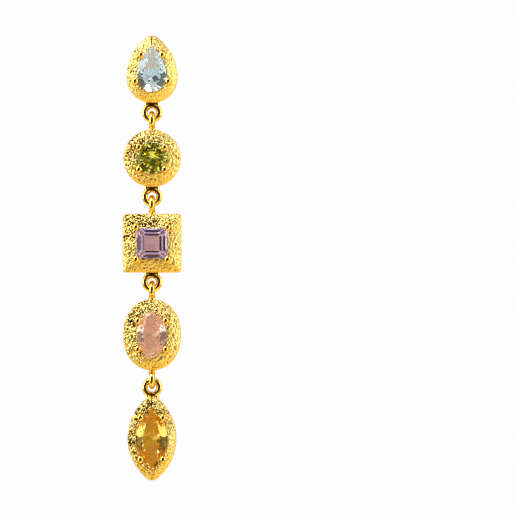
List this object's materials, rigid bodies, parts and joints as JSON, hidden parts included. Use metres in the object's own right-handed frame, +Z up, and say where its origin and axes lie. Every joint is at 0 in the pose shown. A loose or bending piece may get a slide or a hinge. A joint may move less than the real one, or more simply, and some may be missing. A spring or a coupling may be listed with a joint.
{
  "type": "drop earring",
  "caption": "Long drop earring: grained gold frames with faceted stones hang one below another on soldered loops behind a straight ear post.",
  "frame": {"origin": "on the ear post's axis, at the flat back of the pear station, where it rests on the ear lobe", "axes": "+Z up along the hanging chain of stations, -Y the way the stones face, +Y along the ear post"},
  "size_m": [0.0074, 0.0134, 0.0562],
  "materials": {
    "gold": "warm yellow gold plate, grained and hammered on the frames, polished on loops and claws",
    "pale_blue_stone": "clear cut stone with polished facets",
    "green_stone": "clear cut stone with polished facets",
    "lilac_stone": "clear cut stone with polished facets",
    "pink_stone": "clear cut stone with polished facets",
    "orange_stone": "clear cut stone with polished facets"
  },
  "bodies": {
    "pear": {"ear_post": "gold", "pear_setting": "gold", "pear_stone": "pale_blue_stone"},
    "round": {"round_setting": "gold", "round_stone": "green_stone"},
    "square": {"square_setting": "gold", "square_stone": "lilac_stone"},
    "oval": {"oval_setting": "gold", "oval_stone": "pink_stone"},
    "marquise": {"marquise_setting": "gold", "marquise_stone": "orange_stone"}
  },
  "joints": [
    {"name": "round_swing", "type": "hinge", "parent": "pear", "child": "round", "pos_m": [0, -0.00063, -0.00583], "axis": [1, 0, 0], "range_deg": [-60, 60]},
    {"name": "square_swing", "type": "hinge", "parent": "round", "child": "square", "pos_m": [0, -0.00063, -0.01646], "axis": [1, 0, 0], "range_deg": [-60, 60]},
    {"name": "oval_swing", "type": "hinge", "parent": "square", "child": "oval", "pos_m": [0, -0.00063, -0.02727], "axis": [1, 0, 0], "range_deg": [-60, 60]},
    {"name": "marquise_swing", "type": "hinge", "parent": "oval", "child": "marquise", "pos_m": [0, -0.00063, -0.03951], "axis": [0, 1, 0], "range_deg": [-60, 60]}
  ]
}
